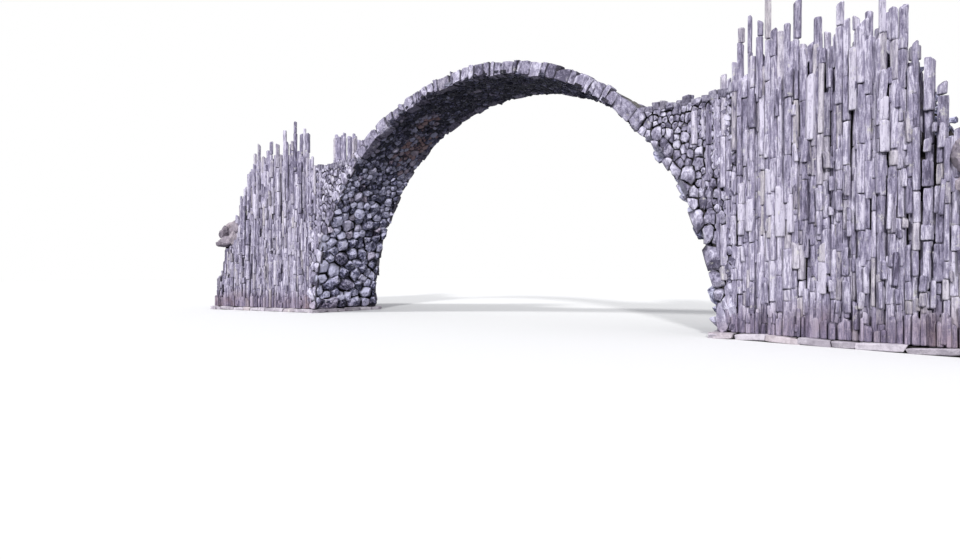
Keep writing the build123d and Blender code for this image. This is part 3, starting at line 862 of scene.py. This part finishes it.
def buildEndColumns(part):
    for end, e in ends:
        rng = random.Random(part["seed"] + e)
        heap = newHeap()
        for inset in part["insets"]:
            y = -wingEndHalf + 0.03
            while y < wingEndHalf - 0.1:
                width = rng.uniform(part["thin"], part["thick"])
                middle = y + width / 2
                top = part["pathTop"] - rng.uniform(0, 0.12)
                if middle > pathHalf:
                    top = part["farTop"] + rng.uniform(*part["farUneven"])
                elif middle < -pathHalf:
                    top = between(part["nearTops"], -middle) - rng.uniform(*part["nearUneven"])
                x = e * (wingEnd - inset + rng.uniform(-0.04, 0.04))
                addColumn(heap, x, middle, plinthTop, top, width * 0.54, rng, (e, 0))
                y += width * 0.98
        y = -pathHalf - 0.1         # inner columns behind the broken corner
        while y > -wingEndHalf + 0.3:
            top = between(part["innerTops"], -y) - rng.uniform(0, 0.4)
            addColumn(heap, e * (wingEnd - rng.uniform(*part["innerInset"])), y, plinthTop, top, 0.11, rng,
                      (e, 0), tone=rng.uniform(*columnWall["innerTone"]))
            y -= columnWall["cornerStep"]
        inner, outer = e * (wingEnd - columnRow), e * (wingEnd - columnWall["backing"])
        addRings(heap, 4, [(x, y, z) for y in (-pathHalf, wingEndHalf - 0.3)
                           for x, z in ((inner, plinthTop), (outer, plinthTop), (outer, part["backed"]),
                                        (inner, part["backed"]))])
        makePiece(f"{end}_end_column_row", heap, (columnFinish, mortarAndShadeFinish), "basalt",
                  f"{end}_end_columns")


buildEndColumns(endWall)

# Rubble of the wings beside the way. Tops and the way's level are (distance from the middle, height)
wingWall = {
    "near": ((10.55, 7.6), (11.3, 7.9), (12.6, 7.85), (14.2, 7.8), (14.9, 6.7), (15.65, 4.3), (15.66, 3.6),
             (17.03, 3.6)),
    "far": ((10.55, 7.7), (14.5, 8.2), (15.1, 7.4), (16.2, 5.1), (17.03, 3.9)),
    "way": ((9.5, 7.2), (wingEnd, 4.2)), "lowest": 3.6, "highest": 9.7,
    "spacing": 0.34, "topSpacing": 0.32, "joint": 0.02, "relief": 0.09, "topRelief": 0.12, "bed": 0.07,
    "tone": (0.15, 1.0), "tries": 9000, "topTries": 5000, "seed": 91,
}


def buildWings(part):
    for end, e, face, side in walls:
        rng = random.Random(part["seed"] + 5 * e + side)
        heap, top = newHeap(), part[face]
        last = top[-1][0]
        low, high = sorted((e * wingStart, e * last))
        layStones(heap, (low, part["lowest"]), (high, part["highest"]), lambda s, t: part["spacing"],
                  lambda s, t: between(part["way"], abs(s)) - 0.2 < t < between(top, abs(s)) - 0.05,
                  lambda s, t: ((e, 0, last), (-e, 0, -wingStart), (0, 1, between(top, abs(s)) - 0.02)),
                  lambda s, t, w: (s, side * (pathHalf + 0.05 - w), t), rng, part["tries"], part["joint"],
                  lambda reach: min(part["relief"], 0.3 * reach), 0.08, part["tone"])
        layStones(heap, (low, pathHalf), (high, wingEndHalf), lambda s, t: part["topSpacing"],
                  lambda s, t: pathHalf + 0.1 < t < halfWidthAt(s) - columnRow,
                  lambda s, t: ((0, -1, -pathHalf - 0.02), (0, 1, halfWidthAt(s) - columnRow), (e, 0, last)),
                  lambda s, t, w: (s, side * t, between(top, abs(s)) + w - 0.04), rng, part["topTries"],
                  part["joint"], lambda reach: part["topRelief"], 0.12, part["tone"])
        outline = [(wingStart, plinthTop), *((d, h - part["bed"]) for d, h in top), (last, plinthTop)]
        addRings(heap, len(outline), [(e * d, side * (pathHalf + part["bed"]), z) for d, z in outline]
                 + [(e * d, faceY(d, side, columnRow), z) for d, z in outline])
        makePiece(f"{end}_{face}_wing_rubble", heap, (rubbleFinish, mortarAndShadeFinish), "rubble",
                  f"{end}_{face}_wing")


buildWings(wingWall)
print("wings are dressed")

# Steps, landings and the paving of the crown, as separate rough slabs
stepWay = {
    "flightSteps": 14, "archSteps": 14, "treadDepth": 0.15, "joint": 0.02, "slab": (0.5, 1.1),
    "shortest": 0.3, "landing": (0.4, 0.7), "crown": (0.3, 0.55), "tone": (0.25, 0.95), "rounding": 0.35,
    "rough": 0.012, "seed": 113,
}


def addTread(heap, x0, x1, top, depth, halfWidth, rng, part):
    for y, width in unevenLengths(-halfWidth, halfWidth, part["slab"], part["shortest"], rng):
        half = ((abs(x1 - x0) - part["joint"]) / 2, (width - part["joint"]) / 2, depth / 2)
        centre = ((x0 + x1) / 2, y + width / 2, top - depth / 2 + rng.uniform(-0.02, 0.0))
        addBlock(heap, centre, turned(rng.uniform(-0.02, 0.02)), half, rng, rng.uniform(*part["tone"]),
                 rng.random(), part["rounding"], part["rough"])


def layTreads(name, treads, rng, part, node):
    heap = newHeap()
    for x0, x1, top, depth, halfWidth in treads:
        addTread(heap, x0, x1, top, depth, halfWidth, rng, part)
    makePiece(name, heap, (pavingFinish,), "paving", node)


def buildWay(part):
    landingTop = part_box("left_landing")[1].z
    landingInner = -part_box("left_landing")[1].x
    landingOuter = -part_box("left_landing")[0].x
    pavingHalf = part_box("crown_paving")[1].x
    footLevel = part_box("left_flight")[0].z + part["treadDepth"]
    crownLevel = math.sqrt(deckRadius ** 2 - pavingHalf ** 2)
    rise = (crownLevel - landingTop) / part["archSteps"]
    run = (wingEnd - landingOuter) / part["flightSteps"]
    lift = (landingTop - footLevel) / part["flightSteps"]

    def flightTreads(e):
        for i in range(part["flightSteps"]):
            x0, x1 = (e * (wingEnd - k * run) for k in (i, i + 1))
            yield x0, x1, footLevel + i * lift, part["treadDepth"], pathHalf - 0.02

    def archTreads(e):
        outer = landingInner
        for i in range(part["archSteps"]):
            level = landingTop + (i + 1) * rise
            inner = math.sqrt(deckRadius ** 2 - level ** 2)
            depth = level - math.sqrt(extrados ** 2 - ((inner + outer) / 2) ** 2)
            yield e * outer, e * inner, level, depth, halfWidthAt(outer) - edgeWidth
            outer = inner

    def landingTreads(e):
        for x, length in unevenLengths(landingInner, landingOuter, part["landing"], part["shortest"], rng):
            yield e * x, e * (x + length), landingTop, part["treadDepth"], halfWidthAt(x) - edgeWidth

    def crownTreads():
        x = -pavingHalf
        while x < pavingHalf - 0.05:
            length = min(rng.uniform(*part["crown"]), pavingHalf - x)
            level = math.sqrt(deckRadius ** 2 - (x + length / 2) ** 2)
            yield x, x + length, level, deckRadius - extrados + 0.02, halfWidthAt(x) - edgeWidth
            x += length

    for end, e in ends:
        rng = random.Random(part["seed"] + e)
        layTreads(f"{end}_flight_slabs", flightTreads(e), rng, part, f"{end}_flight")
        layTreads(f"{end}_arch_slabs", archTreads(e), rng, part, f"{end}_arch_steps")
        layTreads(f"{end}_landing_slabs", landingTreads(e), rng, part, f"{end}_landing")
    rng = random.Random(part["seed"])
    layTreads("crown_slabs", crownTreads(), rng, part, "crown_paving")


buildWay(stepWay)
print("way is paved")

# Ledge of flat stones along the foot of each abutment
ledge = {
    "length": (0.5, 1.15), "shortest": 0.35, "depth": 0.42, "inset": 0.045, "endInset": 0.10,
    # sides darkens the ends that face neighbouring stones a little: painted shade
    "height": (0.82, 1.0), "tone": (0.4, 1.3), "rounding": 0.35, "sides": 0.95, "bedInset": 0.12,
    "bedTone": 0.2, "seed": 131,
}


def buildPlinths(part):
    for end, e in ends:
        rng = random.Random(part["seed"] + e)
        heap = newHeap()
        inner, outer = archRadius - plinthLedge + part["inset"], wingEnd + plinthLedge - part["endInset"]
        startHalf, endHalf = (half + plinthLedge - part["inset"] for half in (wingStartHalf, wingEndHalf))

        def outlineOf(inset):
            x0, x1, y0, y1 = inner + inset, outer - inset, startHalf - inset, endHalf - inset
            return [(e * x0, -y0), (e * wingStart, -y0), (e * x1, -y1), (e * x1, y1), (e * wingStart, y0),
                    (e * x0, y0)]

        corners = outlineOf(0)
        for (x0, y0), (x1, y1) in zip(corners, corners[1:] + corners[:1]):
            length, angle = math.hypot(x1 - x0, y1 - y0), math.atan2(y1 - y0, x1 - x0)
            along = Vector((x1 - x0, y1 - y0, 0)) / length
            inward = Vector((-along.y, along.x, 0)) * e
            for run, step in unevenLengths(0.0, length, part["length"], part["shortest"], rng):
                height = plinthTop * rng.uniform(*part["height"])
                depth = part["depth"] * rng.uniform(0.9, 1.15)
                centre = Vector((x0, y0, height / 2)) + along * (run + step / 2) + inward * (depth / 2 + 0.01)
                axes = turned(angle + rng.uniform(-0.04, 0.04))
                addBlock(heap, centre, axes, (step / 2 - 0.01, depth / 2, height / 2), rng,
                         rng.uniform(*part["tone"]), rng.random(), part["rounding"], sides=part["sides"])
        addRings(heap, 6, [(x, y, z) for z in (0.01, plinthTop - 0.04)
                           for x, y in outlineOf(part["bedInset"])], part["bedTone"])
        heap["points"] = [(x, y, max(z, 0)) for x, y, z in heap["points"]]      # cut off by the ground
        makePiece(f"{end}_plinth_stones", heap, (ledgeFinish, mortarAndShadeFinish), "plinth_stone",
                  f"{end}_plinth")


buildPlinths(ledge)

# Boulders heaped on the near outer corners: inward from the end, across from the path, seat, half sizes
heapOfBoulders = {
    "stones": ((0.36, 0.46, 3.62, 0.42, 0.44, 0.40), (0.30, 1.52, 3.58, 0.36, 0.40, 0.22),
               (0.75, 1.50, 3.6, 0.40, 0.34, 0.28), (1.20, 0.50, 3.62, 0.50, 0.46, 0.44),
               (1.25, 1.42, 3.6, 0.42, 0.34, 0.44), (0.40, 1.04, 3.64, 0.36, 0.36, 0.42),
               (0.92, 1.20, 4.0, 0.34, 0.34, 0.36), (0.34, 1.50, 3.98, 0.30, 0.30, 0.36),
               (0.40, 1.10, 4.36, 0.34, 0.36, 0.36), (0.42, 0.62, 4.36, 0.30, 0.34, 0.28),
               (1.32, 1.22, 4.38, 0.36, 0.36, 0.36), (1.15, 0.60, 4.42, 0.40, 0.42, 0.34),
               (0.78, 0.84, 4.34, 0.28, 0.30, 0.34), (1.62, 0.95, 3.7, 0.30, 0.40, 0.62),
               (1.55, 0.55, 4.6, 0.26, 0.34, 0.36), (1.60, 1.40, 4.3, 0.26, 0.28, 0.40)),
    "cuts": 11, "cutReach": (0.66, 0.9), "rough": 0.34, "tone": (0.15, 1.0), "sink": 0.92, "seed": 151,
}


def addBoulder(heap, centre, half, rng, part):
    shape = bmesh.new()
    bmesh.ops.create_icosphere(shape, subdivisions=4, radius=1.0)
    seed = Vector([rng.uniform(0, 99) for _ in range(3)])
    cuts = [(Vector((rng.uniform(-1, 1), rng.uniform(-1, 1), rng.uniform(-0.8, 1))).normalized(),
             rng.uniform(*part["cutReach"])) for _ in range(part["cuts"])]
    points = []
    for vert in shape.verts:
        p = vert.co.copy() * 1.15
        for cut, reach in cuts:            # split faces
            p -= cut * max(0, p.dot(cut) - reach) * 0.94
        bumps = 0.5 * noise.noise(p * 1.3 + seed) + 0.25 * noise.noise(p * 5 + seed)
        p *= 1 + part["rough"] * bumps
        points.append(tuple(c + q * h for c, q, h in zip(centre, p, half)))
    polygons = [tuple(v.index for v in face.verts) for face in shape.faces]
    shape.free()
    addSolid(heap, points, polygons, rng.uniform(*part["tone"]), rng.random())


def buildBoulders(part):
    for end, e in ends:
        rng = random.Random(part["seed"])
        heap = newHeap()
        for inward, across, seat, length, depth, height in part["stones"]:
            centre = (e * (wingEnd - inward), -(pathHalf + across), seat + height * part["sink"])
            addBoulder(heap, centre, (length, depth, height), rng, part)
        makePiece(f"{end}_boulder_heap", heap, (boulderFinish,), "boulder", f"{end}_boulders")
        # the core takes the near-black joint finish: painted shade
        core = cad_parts[f"{end}_core"].data.materials
        core.clear()
        core.append(mortarAndShadeFinish)


buildBoulders(heapOfBoulders)
print("ledges and boulders are laid")

# Floor, light and camera. Lights are (power, where from, softness in degrees)
studio = {
    "floor": 400.0, "floorColour": (0.86, 0.86, 0.86), "floorBounce": (0.10, 0.10, 0.11),
    "skyLevel": 0.6, "sky": (0.95, 0.96, 1.0),
    "sun": (1.9, (-0.55, -0.80, 0.72), 8.0), "fill": (2.4, (0.46, -0.80, 0.34), 5.0),
}


def backgroundRay(tree):      # 1 for what the camera and reflections see directly
    path = nodeOf(tree, "LightPath")
    seen = mathOf(tree, "MAXIMUM", path["Is Camera Ray"], path["Is Glossy Ray"])
    return mathOf(tree, "MAXIMUM", seen, path["Is Transmission Ray"])


def buildStudio(part):
    half = part["floor"] / 2
    mesh = bpy.data.meshes.new("floor")
    mesh.from_pydata([(-half, -half, 0), (half, -half, 0), (half, half, 0), (-half, half, 0)], [],
                     [(0, 1, 2, 3)])
    floor = newObject("floor", mesh)
    finish, tree, shader, _ = newFinish("pale_floor")
    feed(tree, shader.inputs["Base Color"],
         mixOf(tree, backgroundRay(tree), part["floorBounce"], part["floorColour"]))
    feed(tree, shader.inputs["Roughness"], 1.0)
    feed(tree, shader.inputs["Specular IOR Level"], 0.0)
    mesh.materials.append(finish)

    world = bpy.data.worlds.new("studio")
    bpy.context.scene.world = world
    world.use_nodes = True
    tree = world.node_tree
    sky = tuple(c * part["skyLevel"] for c in part["sky"])
    feed(tree, tree.nodes["Background"].inputs["Color"], mixOf(tree, backgroundRay(tree), sky, (1, 1, 1)))

    for label in ("sun", "fill"):
        power, source, soft = part[label]
        lamp = newObject(label, bpy.data.lights.new(label, "SUN"))
        lamp.data.energy = power
        lamp.data.angle = math.radians(soft)
        lamp.rotation_mode = "QUATERNION"
        lamp.rotation_quaternion = Vector(source).to_track_quat("Z", "Y")


# The photograph's viewpoint: eye height over the foot of the bridge, and a level look up it from one side
viewpoint = {
    "place": (15.652, -20.946, 1.89), "look": (-0.6186, 0.7857, -0.006), "lens": 22.5, "sensor": 36.0,
    "farthest": 1000.0,
}


def buildCamera(part):
    camera = newObject("camera", bpy.data.cameras.new("camera"))
    camera.data.lens = part["lens"]
    camera.data.sensor_width = part["sensor"]
    camera.data.clip_end = part["farthest"]
    camera.location = part["place"]
    camera.rotation_mode = "QUATERNION"
    camera.rotation_quaternion = Vector(part["look"]).to_track_quat("-Z", "Y")
    bpy.context.scene.camera = camera


buildStudio(studio)
buildCamera(viewpoint)
bpy.context.scene.view_settings.view_transform = "Standard"
print("studio is lit")
